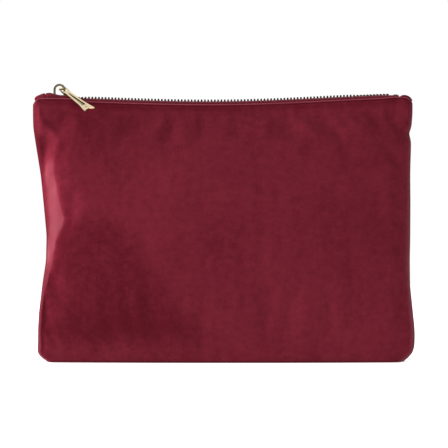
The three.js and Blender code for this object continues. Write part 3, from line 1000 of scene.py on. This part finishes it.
def seam_strip(name, outer, inner, low, top, thickness, maker, node):
    """A flat U along the sides and the bottom: the turned-in edges, pressed together."""
    heights = np.linspace(top, low + SEAM_CORNER, 26)
    bottom = np.linspace(-1, 1, 60)
    turns = np.linspace(0, math.pi / 2, 8)[1:-1]

    def path(inset):
        floor = low + inset - outer
        left, right = OUTLINE.edges(heights)
        left_line = np.stack([left + inset, heights], axis=1)
        right_line = np.stack([right - inset, heights], axis=1)[::-1]
        corner = SEAM_CORNER - (inset - outer)
        middle_left = np.array([left_line[-1, 0] + corner, left_line[-1, 1]])
        middle_right = np.array([right_line[0, 0] - corner, right_line[0, 1]])
        rounds_left = middle_left + corner * np.stack([-np.cos(turns), -np.sin(turns)], axis=1)
        rounds_right = middle_right + corner * np.stack([np.sin(turns), -np.cos(turns)], axis=1)
        along_x = middle_left[0] + (middle_right[0] - middle_left[0]) * (bottom + 1) / 2
        base = np.stack([along_x, np.full(len(bottom), floor)], axis=1)
        return np.concatenate([left_line, rounds_left, base, rounds_right, right_line])

    outside, inside = path(outer), path(inner)
    rows = [outside + (inside - outside) * t for t in np.linspace(0, 1, 5)]
    flat = np.stack(rows, axis=1)
    points = np.stack([flat[..., 0], 0 * flat[..., 0], flat[..., 1]], axis=-1)
    points[..., 1] += soft_noise(points, 9 * MM, settings().seed) * 0.08 * MM
    run = np.linalg.norm(np.diff(outside, axis=0), axis=1).sum()
    piece = grid(name, points, (run, inner - outer), (0, -1, 0))
    thickened(piece, thickness, offset=0.0)
    subdivided(piece)
    smooth(piece, 50)
    return dress(piece, material(maker), "front_half", [node])


class MAKEUPBAG_OT_seams(bpy.types.Operator):
    """Presses the turned-in edges of the velvet and of the lining"""

    bl_idname = "makeup_bag.seams"
    bl_label = "Seam allowances"

    def execute(self, context):
        seam_strip("velvet_seam_allowance", outer=0.9 * MM, inner=6.4 * MM, low=1.5 * MM,
                   top=186 * MM, thickness=0.6 * MM, maker=velvet, node="shell_seam")
        seam_strip("lining_seam_allowance", outer=13 * MM, inner=17 * MM, low=9 * MM,
                   top=182 * MM, thickness=0.5 * MM, maker=satin, node="lining_seam")
        return {"FINISHED"}


# ---- lining -------------------------------------------------------------------------------


LINING_COLUMNS = 61
LINING_ALLOWANCE = 7 * MM


def lining_points(face):
    """The lining's inside-out bag: drawn together under the tapes and at its bottom seam."""
    s = settings().panels
    side = spread(LINING_COLUMNS)
    shut = 0.4 * MM  # from the middle to the outside along the bottom seam
    low = 12.8 * MM
    ends = np.full(LINING_COLUMNS, Outline.high)
    top = OUTLINE.chain(OUTLINE.across(side, ends, s.lining_inset)) - 6 * MM
    rows = []
    for t in np.concatenate([[0, 0.006, 0.015, 0.03], np.linspace(0.055, 1, 44)]):
        height = low + (top - low) * t
        row = wall(side, height, face, s.lining_inset)
        below = np.maximum(top - 5 * MM - height, 0)
        depth = np.abs(row[:, 1]) - s.lining_clear
        depth = np.minimum(depth, 4 * MM + 0.4 * below)
        closing = min(1, (t / 0.1) ** 0.5)
        depth = shut + np.maximum(depth - shut, 0) * closing
        rows.append(np.stack([row[:, 0], face * depth, height], axis=-1))
    return np.stack(rows, axis=1)


def make_lining(name, face, node):
    """One side of the lining, with soft wrinkles that run down it."""
    s = settings().panels
    low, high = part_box(node)
    cut = (high.x - low.x + 2 * LINING_ALLOWANCE, high.z - low.z + 2 * LINING_ALLOWANCE)
    points = lining_points(face)
    side = np.abs(np.linspace(-1, 1, points.shape[0]))[:, None]
    z = points[..., 2]
    free = (1 - ease(side, 0.8, 1)) * ease(z, 14 * MM, 40 * MM) * (1 - ease(z, 170 * MM, 190 * MM))
    tall = points * np.array([1, 1, 0.35])
    ripple = soft_noise(tall, 13 * MM, settings().seed + 20 + face)
    points[..., 1] -= face * s.lining_ripple * free * (1 + ripple)
    piece = grid(name, points, cut, (0, face, 0))
    thickened(piece, s.lining_thickness)
    subdivided(piece)
    smooth(piece, 60)
    dress(piece, material(satin), stands_for=[node])
    return piece


class MAKEUPBAG_OT_lining(bpy.types.Operator):
    """Makes the satin lining, a bag inside the bag"""

    bl_idname = "makeup_bag.lining"
    bl_label = "Lining"

    def execute(self, context):
        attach(make_lining("front_satin", FRONT, "front_lining"), "front_half")
        lean(make_lining("back_satin", BACK, "back_lining"))
        return {"FINISHED"}


# ---- zip ----------------------------------------------------------------------------------

# A tape across its width, from the teeth out and down behind the fold: distance from the
# middle and height over the chain, in millimetres, where it lies flat and where the slider's
# shoulder pushes it up.
TAPE_FLAT = ((2.2, -0.15), (2.8, -0.15), (3.4, -0.18), (3.95, -0.22), (4.4, -0.42), (4.78, -0.9),
             (4.97, -1.7), (5.02, -3), (5.02, -5), (5.02, -7.5), (5.02, -10))
TAPE_RAISED = ((2.2, 0), (3, 0), (3.9, 0.05), (4.5, 0.5), (4.62, 2.4), (4.75, 4.1),
               (4.92, 4.3), (5.06, 3.2), (5.06, -2), (5.02, -6), (5.02, -10))
ZIP_LEFT = -136.2 * MM
ZIP_RIGHT = 134.2 * MM
TAPE_COLUMNS = 150
TAPE_WIDTH = 13.5 * MM
CORD_LINE = 2.25 * MM  # from the middle of the zip to a tape's cord
STITCH_LINE = 4.35 * MM  # from the middle of the zip to the stitches
STITCH_DROP = 5 * MM  # from the chain down to the stitches
STITCH_SHARE = 0.78  # share of the pitch that a stitch covers
STITCH_BOW = 0.22 * MM  # how far a stitch's ends stand out past its middle


def raised(x, face):
    """How much of the raised shape a tape has, from 1 at its left end to 0 past the slider."""
    most = 1.0 if face == FRONT else 0.45
    climb = ease(x, ZIP_LEFT, -133.2 * MM) * 0.12 + 0.88
    fall = np.interp(x, np.array([-133.2, -130.8, -127.7, -124.6, -119, -110]) * MM,
                     [1, 0.86, 0.72, 0.62, 0.56, 0])
    return most * climb * fall


def tape_points(face):
    """A tape's flat section, raised at its left end, along the whole zip."""
    x = np.linspace(ZIP_LEFT, ZIP_RIGHT, TAPE_COLUMNS)
    flat, up = np.array(TAPE_FLAT) * MM, np.array(TAPE_RAISED) * MM
    share_up = raised(x, face)[:, None, None]
    section = flat[None] * (1 - share_up) + up[None] * share_up
    y = face * section[..., 0]
    z = OUTLINE.chain(x)[:, None] + section[..., 1]
    across = np.broadcast_to(x[:, None], y.shape)
    return np.stack([across, y, z], axis=-1)


def make_tape(name, face, node):
    """One woven tape."""
    s = settings().zip
    points = tape_points(face)
    points[..., 1] += face * soft_noise(points, 14 * MM, settings().seed + 40) * 0.06 * MM
    cut = (ZIP_RIGHT - ZIP_LEFT, TAPE_WIDTH)
    piece = grid(name, points, cut, (0, face, 0))
    thickened(piece, s.tape_thickness, offset=0.0)
    subdivided(piece)
    smooth(piece, 60)
    dress(piece, material(woven_tape), stands_for=[node])
    return piece


def row_height(x, face):
    """Height of the middle of a row of teeth. The chain is tilted along most of its length."""
    s = settings().zip
    tilt = ease(x, -112 * MM, -100 * MM) * (1 - ease(x, 94 * MM, 106 * MM))
    return OUTLINE.chain(x) - (face + 0.15) * s.row_tilt * tilt


def make_cord(name, face):
    """The cord woven into the tape's edge, which the teeth grip."""
    s = settings().zip
    x = np.linspace(ZIP_LEFT, ZIP_RIGHT, TAPE_COLUMNS)
    bpy.ops.mesh.primitive_cylinder_add(
        vertices=8, radius=s.cord_radius, depth=ZIP_RIGHT - ZIP_LEFT, end_fill_type="NGON",
        location=((ZIP_LEFT + ZIP_RIGHT) / 2, face * CORD_LINE, 0), rotation=(0, math.pi / 2, 0),
    )
    piece = placed(named(name))
    edit(piece)
    for step in x[1:-1]:
        bpy.ops.mesh.select_all(action="SELECT")
        bpy.ops.mesh.bisect(plane_co=(step, 0, 0), plane_no=(1, 0, 0))
    leave()
    points = places(piece)
    points[:, 2] += row_height(points[:, 0], face) - s.cord_drop
    put(piece, points)
    smooth(piece, 60)
    return dress(piece, material(woven_tape))


def make_teeth(name, face, offset, node):
    """One row: a tooth is modelled once, repeated along the chain and let down on to it."""
    s = settings().zip
    left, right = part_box(node)[0].x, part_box(node)[1].x
    outer, neck = 3.05 * MM, 1.35 * MM
    bpy.ops.mesh.primitive_cube_add(size=1, location=(0, face * (outer + neck) / 2, 0))
    piece = named(name)
    piece.scale = (s.leg_width, outer - neck, s.leg_height)
    placed(piece)
    points = places(piece)
    points[points[:, 2] > 0, 0] *= s.crown_width / s.leg_width
    put(piece, points)
    edit(piece, everything=False)
    bpy.ops.mesh.select_mode(type="FACE")
    leave()
    for polygon in piece.data.polygons:
        polygon.select = polygon.normal.y * face < -0.9
    bpy.ops.object.mode_set(mode="EDIT")
    bpy.ops.mesh.inset(thickness=0.01 * MM)
    slim = (s.head_width / s.leg_width, 1, s.head_height / s.leg_height)
    bpy.ops.transform.resize(value=slim)
    bpy.ops.mesh.extrude_region_move(
        TRANSFORM_OT_translate={"value": (0, -face * (neck + s.reach), 0)}
    )
    leave_closed()
    bevelled(piece, 0.34 * MM, 2, 40)
    points = places(piece)
    points[:, 0] += left + offset
    put(piece, points)
    count = int((right - left - s.pitch) / s.pitch) + 1
    array(piece, count, s.pitch)
    points = places(piece)
    middles = left + offset + np.rint((points[:, 0] - left - offset) / s.pitch) * s.pitch
    points[:, 2] += row_height(middles, face)
    put(piece, points)
    smooth(piece, 40)
    return dress(piece, material(antique_brass), stands_for=[node])


def make_stop(name, node, sink=0.0):
    """A bent metal clip, pressed on to the tape."""
    low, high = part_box(node)
    high.z -= sink
    bpy.ops.mesh.primitive_cube_add(size=1, location=(low + high) / 2)
    piece = named(name)
    piece.scale = high - low
    placed(piece)
    round_sharp(piece, 0.4 * MM)
    smooth(piece, 40)
    return dress(piece, material(antique_brass), stands_for=[node])


def make_stitches(name, face, node):
    """A row of lock stitches that joins the lining's edge to the tape."""
    s = settings().zip
    low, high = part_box(node)
    bpy.ops.mesh.primitive_cylinder_add(
        vertices=6, radius=s.stitch_radius, depth=s.stitch_pitch * STITCH_SHARE,
        location=(low.x + s.stitch_pitch / 2, face * STITCH_LINE, 0),
        rotation=(0, math.pi / 2, 0),
    )
    piece = placed(named(name))
    edit(piece)
    bpy.ops.mesh.bisect(plane_co=(low.x + s.stitch_pitch / 2, 0, 0), plane_no=(1, 0, 0))
    leave()
    points = places(piece)
    middle = np.abs(points[:, 0] - low.x - s.stitch_pitch / 2) < 0.1 * MM
    points[~middle, 1] += face * STITCH_BOW
    put(piece, points)
    array(piece, int((high.x - low.x) / s.stitch_pitch), s.stitch_pitch)
    points = places(piece)
    points[:, 2] += OUTLINE.chain(points[:, 0]) - STITCH_DROP
    put(piece, points)
    smooth(piece, 50)
    return dress(piece, material(thread), stands_for=[node])


class MAKEUPBAG_OT_tapes(bpy.types.Operator):
    """Weaves the two zip tapes, their cords and the stitches that hold them"""

    bl_idname = "makeup_bag.tapes"
    bl_label = "Zip tapes"

    def execute(self, context):
        for face, word in ((FRONT, "front"), (BACK, "back")):
            pieces = [
                make_tape(f"{word}_zip_tape", face, f"{word}_tape"),
                make_cord(f"{word}_tape_cord", face),
                make_stitches(f"{word}_tape_stitches", face, f"{word}_tape_stitching"),
            ]
            for piece in pieces:
                if face == BACK:
                    lean(piece)
                else:
                    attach(piece, "front_half")
        return {"FINISHED"}


class MAKEUPBAG_OT_teeth(bpy.types.Operator):
    """Clamps the teeth and the stops on to the tapes"""

    bl_idname = "makeup_bag.teeth"
    bl_label = "Teeth and stops"

    def execute(self, context):
        pitch = settings().zip.pitch
        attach(make_teeth("front_zip_teeth", FRONT, pitch / 4, "front_teeth"), "front_half")
        lean(make_teeth("back_zip_teeth", BACK, pitch * 3 / 4, "back_teeth"))
        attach(make_stop("front_end_stop", "front_top_stop"), "front_half")
        lean(make_stop("back_end_stop", "back_top_stop"))
        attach(make_stop("closed_end_stop", "bottom_stop", 0.7 * MM), "front_half")
        return {"FINISHED"}


# ---- end tabs -----------------------------------------------------------------------------

# Each tab's outline seen from the front, as (x, height) in millimetres, from its inner foot
# round over the top to its outer foot.
LEFT_TAB = ((-136.5, 194), (-136.5, 205.4), (-138, 206.1), (-141, 205), (-144.2, 203.8),
            (-145.4, 202.4), (-145.4, 200.4), (-142.5, 197), (-141, 194))
RIGHT_TAB = ((134.6, 194), (134.6, 203.2), (136.2, 204.6), (139.6, 204.8), (142.6, 203.8),
             (144.4, 202.2), (144.9, 200), (142.4, 197), (140.4, 194))


def make_tab(name, outline, outwards, node):
    """A folded end of velvet that closes the mouth beside the zip."""
    bpy.ops.mesh.primitive_circle_add(vertices=len(outline), radius=MM, fill_type="NGON")
    piece = named(name)
    put(piece, [(x * MM, -0.5 * MM, z * MM) for x, z in outline])
    edit(piece)
    bpy.ops.mesh.extrude_region_move(TRANSFORM_OT_translate={"value": (0, MM, 0)})
    leave_closed()
    points = places(piece)
    inner = np.abs(points[:, 0]).min()
    outer = np.abs(points[:, 0]).max()
    narrow = (np.abs(points[:, 0]) - inner) / (outer - inner)
    half = 4.9 * MM - 3 * MM * narrow
    points[:, 1] = np.sign(points[:, 1]) * half
    put(piece, points)
    bevelled(piece, 0.9 * MM, 3, 50)
    subdivided(piece, 2)
    points = places(piece)
    points += 0.12 * MM * soft_noise(points, 3 * MM, settings().seed + 60 + outwards)[:, None]
    put(piece, points)
    smooth(piece)
    dress(piece, material(velvet), "front_half", [node])


class MAKEUPBAG_OT_tabs(bpy.types.Operator):
    """Folds the two velvet tabs over the ends of the zip"""

    bl_idname = "makeup_bag.tabs"
    bl_label = "End tabs"

    def execute(self, context):
        make_tab("left_tab", LEFT_TAB, FRONT, "left_end_tab")
        make_tab("right_tab", RIGHT_TAB, BACK, "right_end_tab")
        return {"FINISHED"}


# ---- slider, arch and puller --------------------------------------------------------------


def make_arch():
    """The arch over the slider: a bar spun half round about the puller's pivot."""
    s = settings().fittings
    low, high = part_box("slider_bail")
    middle = (low.x + high.x) / 2
    pivot = high.z - (high.x - low.x) / 2
    bpy.ops.mesh.primitive_circle_add(
        vertices=14, radius=s.arch_bar, fill_type="NGON",
        location=(middle + s.arch_radius, 0, low.z),
    )
    piece = placed(named("slider_arch"))
    edit(piece)
    bpy.ops.mesh.extrude_region_move(TRANSFORM_OT_translate={"value": (0, 0, pivot - low.z)})
    bpy.ops.mesh.spin(steps=24, angle=math.pi, center=(middle, 0, pivot), axis=(0, 1, 0))
    bpy.ops.mesh.extrude_region_move(TRANSFORM_OT_translate={"value": (0, 0, low.z - pivot)})
    bpy.ops.mesh.select_all(action="SELECT")
    bpy.ops.mesh.remove_doubles(threshold=0.005 * MM)
    leave_closed()
    smooth(piece, 50)
    return dress(piece, material(shaded_gold), "slider", ["slider_bail"])


GROOVE_FLOOR = 0.6 * MM  # above the puller's back


def hang(piece):
    """Lets the puller's tail down a little about its pivot."""
    low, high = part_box("slider_bail")
    pivot = ((low.x + high.x) / 2, 0, high.z - (high.x - low.x) / 2)
    edit(piece)
    bpy.ops.transform.rotate(
        value=-settings().fittings.droop, orient_axis="Y", orient_type="GLOBAL",
        center_override=pivot,
    )
    leave()


def shade_groove(piece):
    """Marks how near each point lies to the floor of the puller's groove, which its material
    darkens as painted shade.
    """
    points = places(piece)
    middle = points - points.mean(axis=0)
    across = np.linalg.svd(middle, full_matrices=False)[2][2]  # the plate's thinnest direction
    level = middle @ across * np.sign(across[2])  # the grooved face is turned up
    depth = bell(level - level.min(), GROOVE_FLOOR, 0.25 * MM)
    layer = piece.data.attributes.new("groove", "FLOAT", "POINT")
    layer.data.foreach_set("value", depth.astype(np.float32))


class MAKEUPBAG_OT_slider(bpy.types.Operator):
    """Casts the slider, its arch and the fishtail puller"""

    bl_idname = "makeup_bag.slider"
    bl_label = "Slider and puller"

    def execute(self, context):
        s = settings().fittings
        body = refined("slider_body", "slider_shell", s.edge)
        dress(body, material(shaded_gold), "slider", ["slider_body"])
        make_arch()
        pull = refined("puller", "fishtail_puller", s.rim / 2)
        hang(pull)
        shade_groove(pull)
        dress(pull, material(pale_gold), "puller", ["puller"])
        return {"FINISHED"}


# ---- stage --------------------------------------------------------------------------------


def softbox(name, power, size, location, aim, glossy=True):
    """A soft rectangular lamp, which polished metal may mirror or not."""
    lamp = bpy.data.lights.new(name, "AREA")
    lamp.shape = "RECTANGLE"
    lamp.size, lamp.size_y = size
    lamp.energy = power
    light = bpy.data.objects.new(name, lamp)
    bpy.context.scene.collection.objects.link(light)
    light.location = location
    light.rotation_euler = (Vector(aim) - Vector(location)).to_track_quat("-Z", "Y").to_euler()
    light.visible_camera = False
    light.visible_glossy = glossy


def room(strength):
    """A bright room: white where the camera looks past the bag, softer as a light."""
    world = bpy.data.worlds.new("room")
    bpy.context.scene.world = world
    world.use_nodes = True
    tree = world.node_tree
    light = tree.nodes["Background"]
    light.inputs["Strength"].default_value = strength
    light.inputs["Color"].default_value = (1, 1, 1, 1)
    seen = tree.nodes.new("ShaderNodeBackground")
    seen.inputs["Color"].default_value = (1, 1, 1, 1)
    ray = tree.nodes.new("ShaderNodeLightPath")
    mix = tree.nodes.new("ShaderNodeMixShader")
    tree.links.new(ray.outputs["Is Camera Ray"], mix.inputs[0])
    tree.links.new(light.outputs[0], mix.inputs[1])
    tree.links.new(seen.outputs[0], mix.inputs[2])
    tree.links.new(mix.outputs[0], tree.nodes["World Output"].inputs["Surface"])


class MAKEUPBAG_OT_stage(bpy.types.Operator):
    """Sets the floor, the soft lights and the camera"""

    bl_idname = "makeup_bag.stage"
    bl_label = "Stage"

    def execute(self, context):
        s = settings().stage
        scene = context.scene
        scene.view_settings.view_transform = "Standard"
        bpy.ops.mesh.primitive_plane_add(size=s.floor_size, location=(0, 0, -0.05 * MM))
        floor = named("floor")
        paper = Finish("floor_paper", specular_ior_level=0.1, emission_strength=0.8,
                       emission_color=(1, 1, 1, 1))
        grain = paper.noise(paper.place(), 4 * MM, 3)
        white = paper.blend(grain, (0.88, 0.88, 0.88), (0.92, 0.92, 0.92))
        floor.data.materials.append(paper.draw(base_color=white, roughness=0.9))
        middle = (s.aim_x, 0, s.aim_z)
        softbox("key", s.key, (0.6, 1.6), (-1.8, -0.2, 0.5), middle, glossy=False)
        softbox("fill", s.fill, (3.2, 2.6), (0.95, -2.2, 0.8), middle)
        softbox("top", s.top, (1.3, 1.3), (-0.2, 0.1, 1.6), middle)
        room(s.world)
        camera = bpy.data.objects.new("camera", bpy.data.cameras.new("camera"))
        scene.collection.objects.link(camera)
        camera.data.lens = s.lens
        distance = s.view_width * s.lens / camera.data.sensor_width
        camera.location = (s.aim_x, -distance, s.aim_z)
        camera.rotation_euler = (math.pi / 2, 0, 0)
        camera.data.clip_end = 100
        scene.camera = camera
        return {"FINISHED"}


class MAKEUPBAG_PT_pieces(bpy.types.Panel):
    """Lists the operators that build the bag"""

    bl_idname = "MAKEUPBAG_PT_pieces"
    bl_label = "Makeup Bag"
    bl_space_type = "VIEW_3D"
    bl_region_type = "UI"
    bl_category = "Makeup Bag"

    def draw(self, context):
        for operator in OPERATORS:
            self.layout.operator(operator.bl_idname)


OPERATORS = (
    MAKEUPBAG_OT_stage,
    MAKEUPBAG_OT_panels,
    MAKEUPBAG_OT_seams,
    MAKEUPBAG_OT_lining,
    MAKEUPBAG_OT_tapes,
    MAKEUPBAG_OT_teeth,
    MAKEUPBAG_OT_tabs,
    MAKEUPBAG_OT_slider,
)
GROUPS = (PanelSettings, ZipSettings, FittingSettings, FinishSettings, StageSettings, BagSettings)
CLASSES = (*GROUPS, *OPERATORS, MAKEUPBAG_PT_pieces)


def register():
    for kind in CLASSES:
        bpy.utils.register_class(kind)
    bpy.types.Scene.makeup_bag = PointerProperty(type=BagSettings)


def unregister():
    del bpy.types.Scene.makeup_bag
    for kind in reversed(CLASSES):
        bpy.utils.unregister_class(kind)


def main():
    register()
    for operator in OPERATORS:
        group, name = operator.bl_idname.split(".")
        getattr(getattr(bpy.ops, group), name)()


if __name__ == "__main__":
    main()
